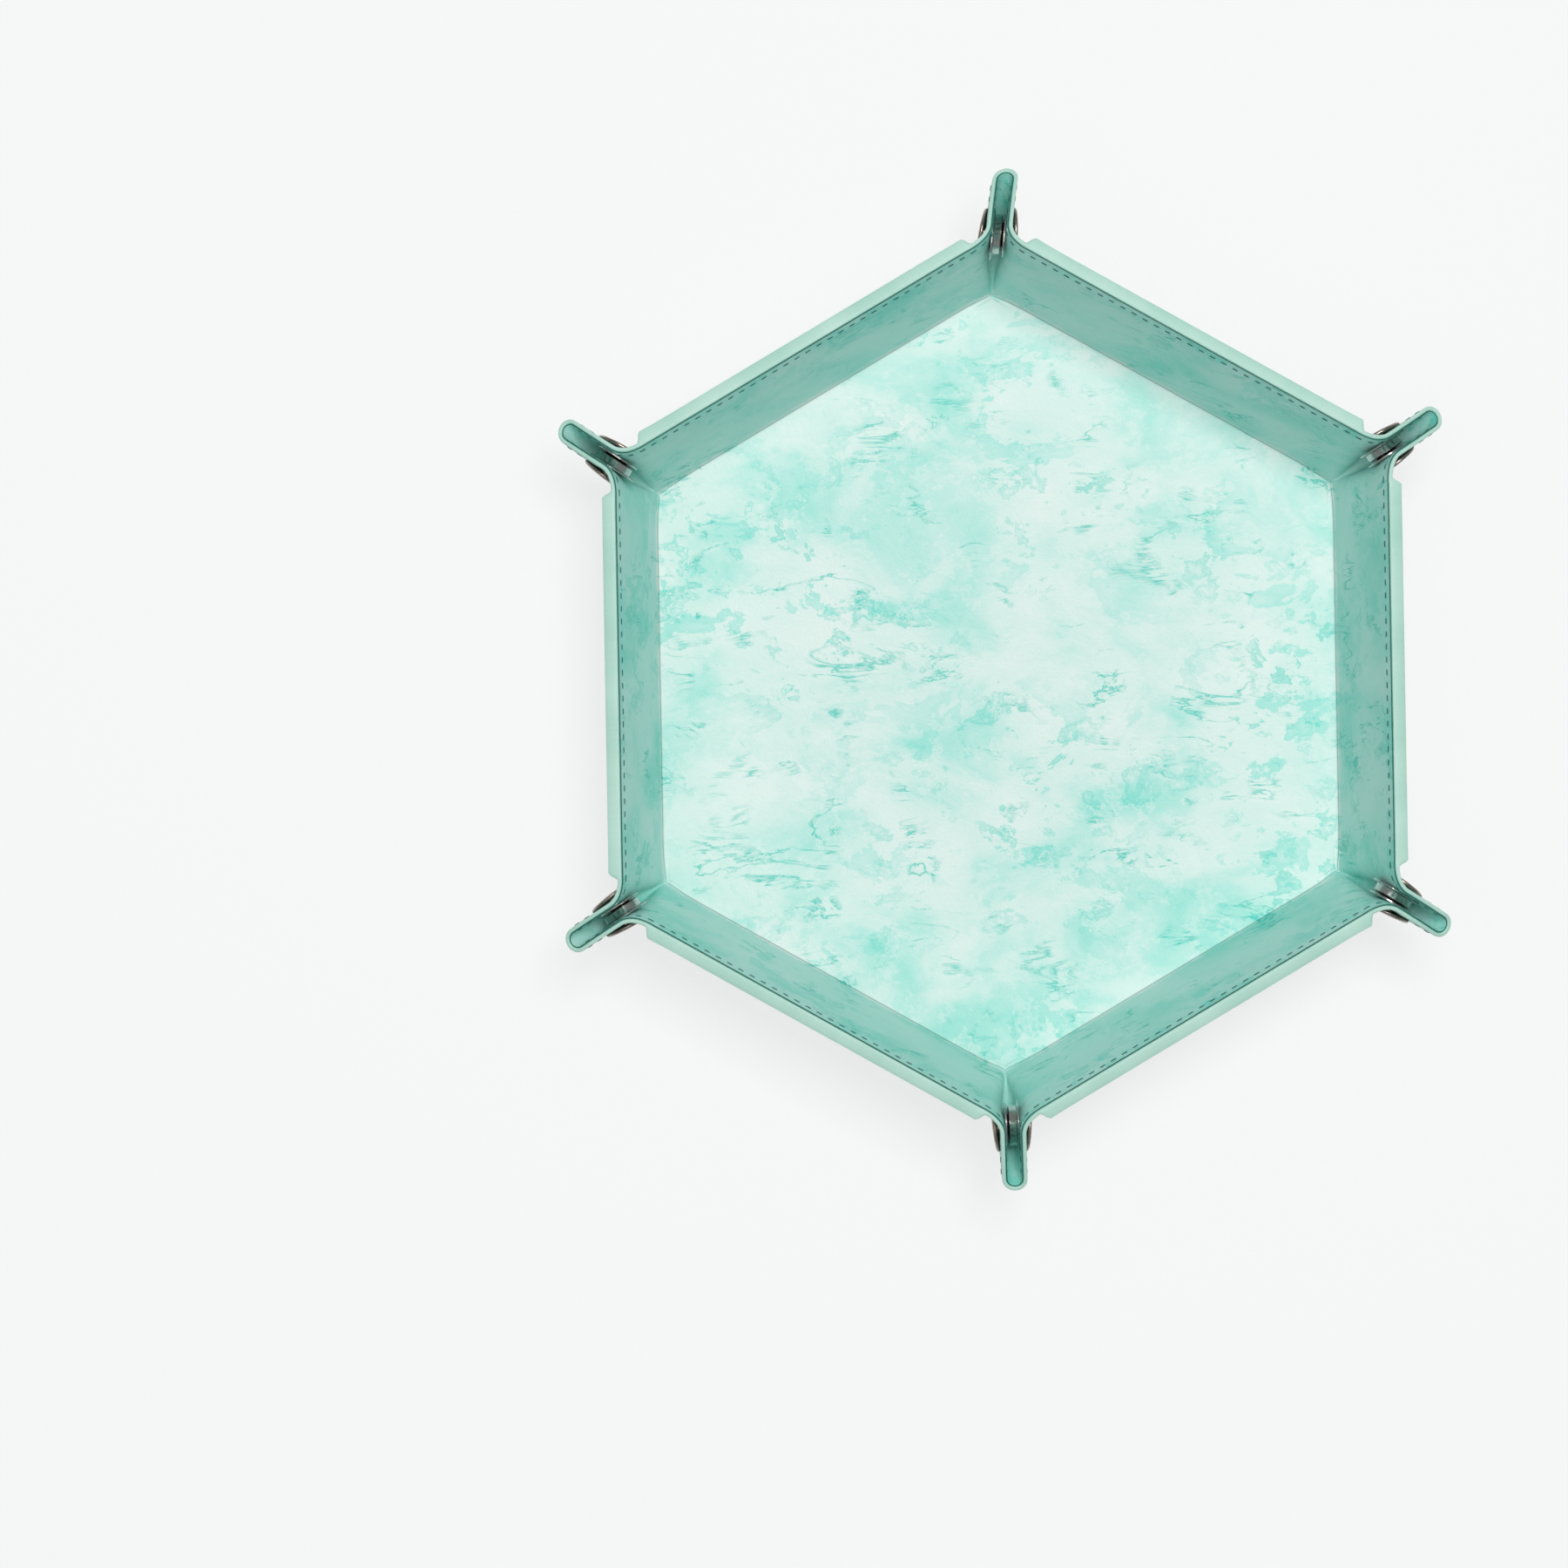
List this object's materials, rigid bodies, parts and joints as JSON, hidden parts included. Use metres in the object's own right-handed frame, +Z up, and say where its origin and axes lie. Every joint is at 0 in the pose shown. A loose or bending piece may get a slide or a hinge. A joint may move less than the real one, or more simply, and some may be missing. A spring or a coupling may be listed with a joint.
{
  "type": "folding dice tray",
  "caption": "Hexagonal leatherette dice tray whose stiffened walls fold up and whose corners pinch into snapped ears.",
  "frame": {"origin": "centre of the underside of the floor", "axes": "+Z up out of the open tray; +X square to wall 1; walls numbered counter-clockwise"},
  "size_m": [0.2056, 0.2362, 0.0417],
  "materials": {
    "inner_leather": "smooth coated leatherette printed with pale mint and turquoise marbling",
    "outer_leather": "smooth plain light mint leatherette",
    "ear_leather": "two bonded layers of leatherette, marbled inside and plain mint outside",
    "stiffener": "bare fibreboard, sealed inside the leather",
    "snap": "warm grey nickel-plated press snap"
  },
  "bodies": {
    "root": {"base_board": "stiffener", "floor_inner_leather": "inner_leather", "floor_outer_leather": "outer_leather"},
    "wall_1": {"wall_1_board": "stiffener", "wall_1_inner_leather": "inner_leather", "wall_1_outer_leather": "outer_leather"},
    "wall_1_stud_ear_body": {"wall_1_stud_ear": "ear_leather", "wall_1_stud_snap": "snap"},
    "wall_1_stud_ear_tip_body": {"wall_1_stud_ear_tip": "ear_leather"},
    "wall_1_socket_ear_body": {"wall_1_socket_ear": "ear_leather", "wall_1_socket_snap": "snap"},
    "wall_1_socket_ear_tip_body": {"wall_1_socket_ear_tip": "ear_leather"},
    "wall_2": {"wall_2_board": "stiffener", "wall_2_inner_leather": "inner_leather", "wall_2_outer_leather": "outer_leather"},
    "wall_2_stud_ear_body": {"wall_2_stud_ear": "ear_leather", "wall_2_stud_snap": "snap"},
    "wall_2_stud_ear_tip_body": {"wall_2_stud_ear_tip": "ear_leather"},
    "wall_2_socket_ear_body": {"wall_2_socket_ear": "ear_leather", "wall_2_socket_snap": "snap"},
    "wall_2_socket_ear_tip_body": {"wall_2_socket_ear_tip": "ear_leather"},
    "wall_3": {"wall_3_board": "stiffener", "wall_3_inner_leather": "inner_leather", "wall_3_outer_leather": "outer_leather"},
    "wall_3_stud_ear_body": {"wall_3_stud_ear": "ear_leather", "wall_3_stud_snap": "snap"},
    "wall_3_stud_ear_tip_body": {"wall_3_stud_ear_tip": "ear_leather"},
    "wall_3_socket_ear_body": {"wall_3_socket_ear": "ear_leather", "wall_3_socket_snap": "snap"},
    "wall_3_socket_ear_tip_body": {"wall_3_socket_ear_tip": "ear_leather"},
    "wall_4": {"wall_4_board": "stiffener", "wall_4_inner_leather": "inner_leather", "wall_4_outer_leather": "outer_leather"},
    "wall_4_stud_ear_body": {"wall_4_stud_ear": "ear_leather", "wall_4_stud_snap": "snap"},
    "wall_4_stud_ear_tip_body": {"wall_4_stud_ear_tip": "ear_leather"},
    "wall_4_socket_ear_body": {"wall_4_socket_ear": "ear_leather", "wall_4_socket_snap": "snap"},
    "wall_4_socket_ear_tip_body": {"wall_4_socket_ear_tip": "ear_leather"},
    "wall_5": {"wall_5_board": "stiffener", "wall_5_inner_leather": "inner_leather", "wall_5_outer_leather": "outer_leather"},
    "wall_5_stud_ear_body": {"wall_5_stud_ear": "ear_leather", "wall_5_stud_snap": "snap"},
    "wall_5_stud_ear_tip_body": {"wall_5_stud_ear_tip": "ear_leather"},
    "wall_5_socket_ear_body": {"wall_5_socket_ear": "ear_leather", "wall_5_socket_snap": "snap"},
    "wall_5_socket_ear_tip_body": {"wall_5_socket_ear_tip": "ear_leather"},
    "wall_6": {"wall_6_board": "stiffener", "wall_6_inner_leather": "inner_leather", "wall_6_outer_leather": "outer_leather"},
    "wall_6_stud_ear_body": {"wall_6_stud_ear": "ear_leather", "wall_6_stud_snap": "snap"},
    "wall_6_stud_ear_tip_body": {"wall_6_stud_ear_tip": "ear_leather"},
    "wall_6_socket_ear_body": {"wall_6_socket_ear": "ear_leather", "wall_6_socket_snap": "snap"},
    "wall_6_socket_ear_tip_body": {"wall_6_socket_ear_tip": "ear_leather"}
  },
  "joints": [
    {"name": "wall_1_fold", "type": "hinge", "parent": "root", "child": "wall_1", "pos_m": [0.0815, 0, 0.0036], "axis": [0, 1, 0], "range_deg": [0, 77.5]},
    {"name": "wall_1_stud_ear_fold", "type": "hinge", "parent": "wall_1", "child": "wall_1_stud_ear_body", "pos_m": [0.08213, 0.04471, 0.00346], "axis": [0.2148, 0.124, 0.9688], "range_deg": [0, 60.79]},
    {"name": "wall_1_stud_ear_tip_curl", "type": "hinge", "parent": "wall_1_stud_ear_body", "child": "wall_1_stud_ear_tip_body", "pos_m": [0.08263, 0.04557, 0.00428], "axis": [-0.524, -0.3025, -0.7961], "range_deg": [0, 90.01]},
    {"name": "wall_1_socket_ear_fold", "type": "hinge", "parent": "wall_1", "child": "wall_1_socket_ear_body", "pos_m": [0.08213, -0.04471, 0.00346], "axis": [-0.2148, 0.124, -0.9688], "range_deg": [0, 60.79]},
    {"name": "wall_1_socket_ear_tip_curl", "type": "hinge", "parent": "wall_1_socket_ear_body", "child": "wall_1_socket_ear_tip_body", "pos_m": [0.08263, -0.04557, 0.00428], "axis": [0.524, -0.3025, 0.7961], "range_deg": [0, 90.01]},
    {"name": "wall_2_fold", "type": "hinge", "parent": "root", "child": "wall_2", "pos_m": [0.04075, 0.07058, 0.0036], "axis": [-0.866, 0.5, 0], "range_deg": [0, 77.51]},
    {"name": "wall_2_stud_ear_fold", "type": "hinge", "parent": "wall_2", "child": "wall_2_stud_ear_body", "pos_m": [0.00235, 0.09348, 0.00346], "axis": [0, 0.248, 0.9688], "range_deg": [0, 60.79]},
    {"name": "wall_2_stud_ear_tip_curl", "type": "hinge", "parent": "wall_2_stud_ear_body", "child": "wall_2_stud_ear_tip_body", "pos_m": [0.00185, 0.09434, 0.00428], "axis": [0, -0.6051, -0.7961], "range_deg": [0, 90.01]},
    {"name": "wall_2_socket_ear_fold", "type": "hinge", "parent": "wall_2", "child": "wall_2_socket_ear_body", "pos_m": [0.07978, 0.04878, 0.00346], "axis": [-0.2148, -0.124, -0.9688], "range_deg": [0, 60.79]},
    {"name": "wall_2_socket_ear_tip_curl", "type": "hinge", "parent": "wall_2_socket_ear_body", "child": "wall_2_socket_ear_tip_body", "pos_m": [0.08078, 0.04877, 0.00428], "axis": [0.524, 0.3025, 0.7961], "range_deg": [0, 90.01]},
    {"name": "wall_3_fold", "type": "hinge", "parent": "root", "child": "wall_3", "pos_m": [-0.04075, 0.07058, 0.0036], "axis": [-0.866, -0.5, 0], "range_deg": [0, 77.51]},
    {"name": "wall_3_stud_ear_fold", "type": "hinge", "parent": "wall_3", "child": "wall_3_stud_ear_body", "pos_m": [-0.07978, 0.04878, 0.00346], "axis": [-0.2148, 0.124, 0.9688], "range_deg": [0, 60.79]},
    {"name": "wall_3_stud_ear_tip_curl", "type": "hinge", "parent": "wall_3_stud_ear_body", "child": "wall_3_stud_ear_tip_body", "pos_m": [-0.08078, 0.04877, 0.00428], "axis": [0.524, -0.3025, -0.7961], "range_deg": [0, 90.01]},
    {"name": "wall_3_socket_ear_fold", "type": "hinge", "parent": "wall_3", "child": "wall_3_socket_ear_body", "pos_m": [-0.00235, 0.09348, 0.00346], "axis": [0, -0.248, -0.9688], "range_deg": [0, 60.79]},
    {"name": "wall_3_socket_ear_tip_curl", "type": "hinge", "parent": "wall_3_socket_ear_body", "child": "wall_3_socket_ear_tip_body", "pos_m": [-0.00185, 0.09434, 0.00428], "axis": [0, 0.6051, 0.7961], "range_deg": [0, 90.01]},
    {"name": "wall_4_fold", "type": "hinge", "parent": "root", "child": "wall_4", "pos_m": [-0.0815, 0, 0.0036], "axis": [0, -1, 0], "range_deg": [0, 77.51]},
    {"name": "wall_4_stud_ear_fold", "type": "hinge", "parent": "wall_4", "child": "wall_4_stud_ear_body", "pos_m": [-0.08213, -0.04471, 0.00346], "axis": [-0.2148, -0.124, 0.9688], "range_deg": [0, 60.79]},
    {"name": "wall_4_stud_ear_tip_curl", "type": "hinge", "parent": "wall_4_stud_ear_body", "child": "wall_4_stud_ear_tip_body", "pos_m": [-0.08263, -0.04557, 0.00428], "axis": [0.524, 0.3025, -0.7961], "range_deg": [0, 90.01]},
    {"name": "wall_4_socket_ear_fold", "type": "hinge", "parent": "wall_4", "child": "wall_4_socket_ear_body", "pos_m": [-0.08213, 0.04471, 0.00346], "axis": [0.2148, -0.124, -0.9688], "range_deg": [0, 60.79]},
    {"name": "wall_4_socket_ear_tip_curl", "type": "hinge", "parent": "wall_4_socket_ear_body", "child": "wall_4_socket_ear_tip_body", "pos_m": [-0.08263, 0.04557, 0.00428], "axis": [-0.524, 0.3025, 0.7961], "range_deg": [0, 90.01]},
    {"name": "wall_5_fold", "type": "hinge", "parent": "root", "child": "wall_5", "pos_m": [-0.04075, -0.07058, 0.0036], "axis": [0.866, -0.5, 0], "range_deg": [0, 77.51]},
    {"name": "wall_5_stud_ear_fold", "type": "hinge", "parent": "wall_5", "child": "wall_5_stud_ear_body", "pos_m": [-0.00235, -0.09348, 0.00346], "axis": [0, -0.248, 0.9688], "range_deg": [0, 60.79]},
    {"name": "wall_5_stud_ear_tip_curl", "type": "hinge", "parent": "wall_5_stud_ear_body", "child": "wall_5_stud_ear_tip_body", "pos_m": [-0.00185, -0.09434, 0.00428], "axis": [0, 0.6051, -0.7961], "range_deg": [0, 90.01]},
    {"name": "wall_5_socket_ear_fold", "type": "hinge", "parent": "wall_5", "child": "wall_5_socket_ear_body", "pos_m": [-0.07978, -0.04878, 0.00346], "axis": [0.2148, 0.124, -0.9688], "range_deg": [0, 60.79]},
    {"name": "wall_5_socket_ear_tip_curl", "type": "hinge", "parent": "wall_5_socket_ear_body", "child": "wall_5_socket_ear_tip_body", "pos_m": [-0.08078, -0.04877, 0.00428], "axis": [-0.524, -0.3025, 0.7961], "range_deg": [0, 90.01]},
    {"name": "wall_6_fold", "type": "hinge", "parent": "root", "child": "wall_6", "pos_m": [0.04075, -0.07058, 0.0036], "axis": [0.866, 0.5, 0], "range_deg": [0, 77.51]},
    {"name": "wall_6_stud_ear_fold", "type": "hinge", "parent": "wall_6", "child": "wall_6_stud_ear_body", "pos_m": [0.07978, -0.04878, 0.00346], "axis": [0.2148, -0.124, 0.9688], "range_deg": [0, 60.79]},
    {"name": "wall_6_stud_ear_tip_curl", "type": "hinge", "parent": "wall_6_stud_ear_body", "child": "wall_6_stud_ear_tip_body", "pos_m": [0.08078, -0.04877, 0.00428], "axis": [-0.524, 0.3025, -0.7961], "range_deg": [0, 90.01]},
    {"name": "wall_6_socket_ear_fold", "type": "hinge", "parent": "wall_6", "child": "wall_6_socket_ear_body", "pos_m": [0.00235, -0.09348, 0.00346], "axis": [0, 0.248, -0.9688], "range_deg": [0, 60.79]},
    {"name": "wall_6_socket_ear_tip_curl", "type": "hinge", "parent": "wall_6_socket_ear_body", "child": "wall_6_socket_ear_tip_body", "pos_m": [0.00185, -0.09434, 0.00428], "axis": [0, -0.6051, 0.7961], "range_deg": [0, 90.01]}
  ],
  "couplings": [
    {"joint": "wall_1_stud_ear_fold", "follows": "wall_1_fold", "ratio": 0.78427},
    {"joint": "wall_1_stud_ear_tip_curl", "follows": "wall_1_fold", "ratio": 1.1613},
    {"joint": "wall_1_socket_ear_fold", "follows": "wall_1_fold", "ratio": 0.78427},
    {"joint": "wall_1_socket_ear_tip_curl", "follows": "wall_1_fold", "ratio": 1.1613},
    {"joint": "wall_2_fold", "follows": "wall_1_fold", "ratio": 1},
    {"joint": "wall_2_stud_ear_fold", "follows": "wall_1_fold", "ratio": 0.78427},
    {"joint": "wall_2_stud_ear_tip_curl", "follows": "wall_1_fold", "ratio": 1.1613},
    {"joint": "wall_2_socket_ear_fold", "follows": "wall_1_fold", "ratio": 0.78427},
    {"joint": "wall_2_socket_ear_tip_curl", "follows": "wall_1_fold", "ratio": 1.1613},
    {"joint": "wall_3_fold", "follows": "wall_1_fold", "ratio": 1},
    {"joint": "wall_3_stud_ear_fold", "follows": "wall_1_fold", "ratio": 0.78427},
    {"joint": "wall_3_stud_ear_tip_curl", "follows": "wall_1_fold", "ratio": 1.1613},
    {"joint": "wall_3_socket_ear_fold", "follows": "wall_1_fold", "ratio": 0.78427},
    {"joint": "wall_3_socket_ear_tip_curl", "follows": "wall_1_fold", "ratio": 1.1613},
    {"joint": "wall_4_fold", "follows": "wall_1_fold", "ratio": 1},
    {"joint": "wall_4_stud_ear_fold", "follows": "wall_1_fold", "ratio": 0.78427},
    {"joint": "wall_4_stud_ear_tip_curl", "follows": "wall_1_fold", "ratio": 1.1613},
    {"joint": "wall_4_socket_ear_fold", "follows": "wall_1_fold", "ratio": 0.78427},
    {"joint": "wall_4_socket_ear_tip_curl", "follows": "wall_1_fold", "ratio": 1.1613},
    {"joint": "wall_5_fold", "follows": "wall_1_fold", "ratio": 1},
    {"joint": "wall_5_stud_ear_fold", "follows": "wall_1_fold", "ratio": 0.78427},
    {"joint": "wall_5_stud_ear_tip_curl", "follows": "wall_1_fold", "ratio": 1.1613},
    {"joint": "wall_5_socket_ear_fold", "follows": "wall_1_fold", "ratio": 0.78427},
    {"joint": "wall_5_socket_ear_tip_curl", "follows": "wall_1_fold", "ratio": 1.1613},
    {"joint": "wall_6_fold", "follows": "wall_1_fold", "ratio": 1},
    {"joint": "wall_6_stud_ear_fold", "follows": "wall_1_fold", "ratio": 0.78427},
    {"joint": "wall_6_stud_ear_tip_curl", "follows": "wall_1_fold", "ratio": 1.1613},
    {"joint": "wall_6_socket_ear_fold", "follows": "wall_1_fold", "ratio": 0.78427},
    {"joint": "wall_6_socket_ear_tip_curl", "follows": "wall_1_fold", "ratio": 1.1613}
  ]
}
